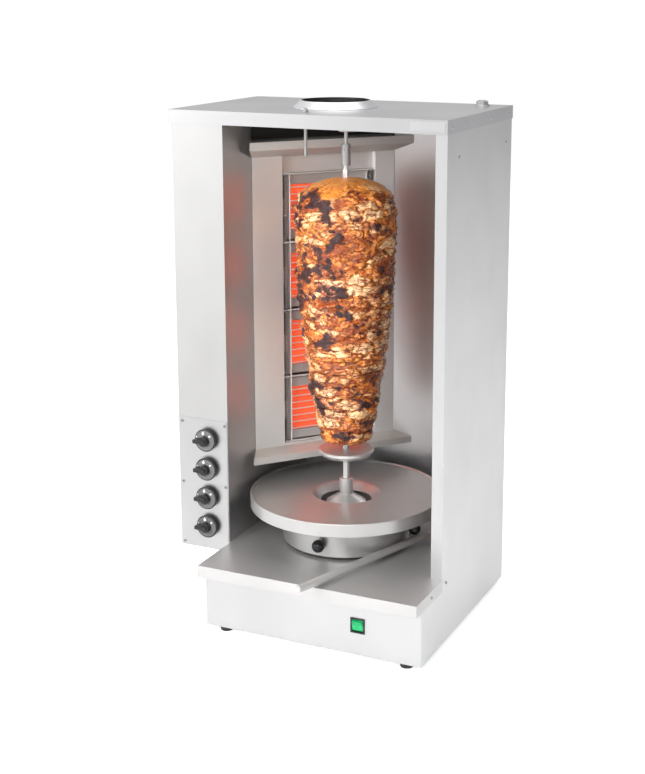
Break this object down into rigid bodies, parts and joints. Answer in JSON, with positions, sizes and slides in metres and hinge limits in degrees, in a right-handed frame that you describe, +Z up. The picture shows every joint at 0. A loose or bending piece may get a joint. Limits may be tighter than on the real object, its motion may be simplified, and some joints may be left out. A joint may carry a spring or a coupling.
{
  "type": "rotisserie oven",
  "caption": "Upright gas rotisserie oven: control column, slanting wall of ceramic burners, swing-out motor drum with fat pan, and a vertical spit carrying stacked meat.",
  "frame": {"origin": "on the floor, under the middle of the whole oven's box, from the tip of the lever to the gas inlet", "axes": "+Z up along the spit, the open front faces -Y, +X to the right of a person facing the front"},
  "size_m": [0.619, 0.5996, 1.095],
  "materials": {
    "cabinet_steel": "vertically brushed stainless steel, satin, very light",
    "top_steel": "brushed stainless steel, satin",
    "inner_steel": "brushed stainless steel, warm and slightly darkened by heat",
    "deflector_steel": "folded brushed stainless steel",
    "flue_steel": "spun stainless steel, darkened by the flue gas",
    "badge_metal": "plain satin plate, blank",
    "burner_steel": "aluminised steel, dull",
    "glowing_ceramic": "perforated ceramic, glowing orange red",
    "guard_wire": "bare steel wire",
    "valve_brass": "plain turned brass",
    "turned_steel": "turned stainless steel bar",
    "screw_steel": "bright steel screws",
    "knob_plastic": "black heat resistant moulding, dark grey face",
    "black_plastic": "black phenolic, half gloss",
    "foot_rubber": "black rubber",
    "switch_green": "clear green moulding, lit from inside",
    "terminal_plastic": "cream moulding",
    "drum_steel": "stainless steel brushed round the drum",
    "pan_steel": "spun stainless steel, satin",
    "motor_paint": "grey machine paint",
    "spit_steel": "ground stainless steel",
    "roast_meat": "stacked roast chicken, glazed orange and cream with charred patches"
  },
  "bodies": {
    "cabinet": {"base_shell": "cabinet_steel", "base_floor": "inner_steel", "feet": "foot_rubber", "work_tray": "top_steel", "right_side_panel": "cabinet_steel", "right_liner": "inner_steel", "left_side_panel": "cabinet_steel", "column_shell": "cabinet_steel", "lower_liner": "inner_steel", "rear_panel": "inner_steel", "top_panel": "top_steel", "flue_collar": "flue_steel", "badge_plate": "badge_metal", "burner_wall": "inner_steel", "upper_deflector": "deflector_steel", "lower_deflector": "deflector_steel", "burner_bodies": "burner_steel", "ceramic_plates": "glowing_ceramic", "burner_guards": "guard_wire", "knob_panel": "cabinet_steel", "gas_valves": "valve_brass", "gas_manifold": "valve_brass", "gas_pipes": "valve_brass", "gas_inlet": "valve_brass", "cabinet_screws": "screw_steel", "top_rivets": "screw_steel", "hanger_bolts": "turned_steel", "switch_housing": "black_plastic", "terminal_block": "terminal_plastic", "cable_gland": "black_plastic", "pivot_post": "turned_steel", "pivot_nut": "turned_steel"},
    "swing_frame": {"swing_tube": "turned_steel", "upper_arm": "turned_steel", "lever_rod": "turned_steel", "drum_shell": "drum_steel", "drum_base": "drum_steel", "glide_ring": "black_plastic", "gearmotor": "motor_paint", "grease_cup": "drum_steel", "fat_pan": "pan_steel"},
    "spit": {"drive_hub": "spit_steel", "skewer": "spit_steel", "spit_disc": "spit_steel", "meat_stack": "roast_meat"},
    "sleeve": {"locking_sleeve": "turned_steel"},
    "rocker": {"switch_rocker": "switch_green"},
    "stem_1": {"valve_stem_1": "turned_steel"},
    "knob_1": {"knob_1": "knob_plastic"},
    "stem_2": {"valve_stem_2": "turned_steel"},
    "knob_2": {"knob_2": "knob_plastic"},
    "stem_3": {"valve_stem_3": "turned_steel"},
    "knob_3": {"knob_3": "knob_plastic"},
    "stem_4": {"valve_stem_4": "turned_steel"},
    "knob_4": {"knob_4": "knob_plastic"},
    "ball_1": {"ball_knob_1": "black_plastic"},
    "ball_2": {"ball_knob_2": "black_plastic"},
    "ball_3": {"ball_knob_3": "black_plastic"},
    "ball_4": {"ball_knob_4": "black_plastic"}
  },
  "joints": [
    {"name": "spit_swing", "type": "hinge", "parent": "cabinet", "child": "swing_frame", "pos_m": [0.2545, 0.23555, 0.17], "axis": [0, 0, 1], "range_deg": [-1, 9]},
    {"name": "spit_turn", "type": "hinge", "parent": "swing_frame", "child": "spit", "pos_m": [0.0325, 0.02855, 0.25], "axis": [0, 0, 1], "continuous": true},
    {"name": "sleeve_lift", "type": "slide", "parent": "swing_frame", "child": "sleeve", "axis": [0, 0, 1], "range_m": [0, 0.022]},
    {"name": "switch_rock", "type": "hinge", "parent": "cabinet", "child": "rocker", "pos_m": [0.169, -0.20825, 0.075], "axis": [1, 0, 0], "range_deg": [-18, 0]},
    {"name": "tap_1_turn", "type": "hinge", "parent": "cabinet", "child": "stem_1", "pos_m": [-0.2319, -0.11045, 0.3793], "axis": [0, -1, 0], "range_deg": [0, 180]},
    {"name": "tap_1_push", "type": "slide", "parent": "stem_1", "child": "knob_1", "axis": [0, 1, 0], "range_m": [0, 0.004], "stiffness_N_per_m": 600, "springref_m": -0.001},
    {"name": "tap_2_turn", "type": "hinge", "parent": "cabinet", "child": "stem_2", "pos_m": [-0.2319, -0.11045, 0.3147], "axis": [0, -1, 0], "range_deg": [0, 180]},
    {"name": "tap_2_push", "type": "slide", "parent": "stem_2", "child": "knob_2", "axis": [0, 1, 0], "range_m": [0, 0.004], "stiffness_N_per_m": 600, "springref_m": -0.001},
    {"name": "tap_3_turn", "type": "hinge", "parent": "cabinet", "child": "stem_3", "pos_m": [-0.2319, -0.11045, 0.2501], "axis": [0, -1, 0], "range_deg": [0, 180]},
    {"name": "tap_3_push", "type": "slide", "parent": "stem_3", "child": "knob_3", "axis": [0, 1, 0], "range_m": [0, 0.004], "stiffness_N_per_m": 600, "springref_m": -0.001},
    {"name": "tap_4_turn", "type": "hinge", "parent": "cabinet", "child": "stem_4", "pos_m": [-0.2319, -0.11045, 0.1855], "axis": [0, -1, 0], "range_deg": [0, 180]},
    {"name": "tap_4_push", "type": "slide", "parent": "stem_4", "child": "knob_4", "axis": [0, 1, 0], "range_m": [0, 0.004], "stiffness_N_per_m": 600, "springref_m": -0.001},
    {"name": "ball_1_screw", "type": "hinge", "parent": "swing_frame", "child": "ball_1", "pos_m": [0.0378, -0.12336, 0.188], "axis": [0.0349, -0.9994, 0], "range_deg": [0, 720]},
    {"name": "ball_2_screw", "type": "hinge", "parent": "swing_frame", "child": "ball_2", "pos_m": [0.18263, 0.05233, 0.188], "axis": [0.9877, 0.1564, 0], "range_deg": [0, 720]},
    {"name": "ball_3_screw", "type": "hinge", "parent": "swing_frame", "child": "ball_3", "pos_m": [0.0272, 0.18045, 0.188], "axis": [-0.0349, 0.9994, 0], "range_deg": [0, 720]},
    {"name": "ball_4_screw", "type": "hinge", "parent": "swing_frame", "child": "ball_4", "pos_m": [-0.11763, 0.00477, 0.188], "axis": [-0.9877, -0.1564, 0], "range_deg": [0, 720]}
  ]
}
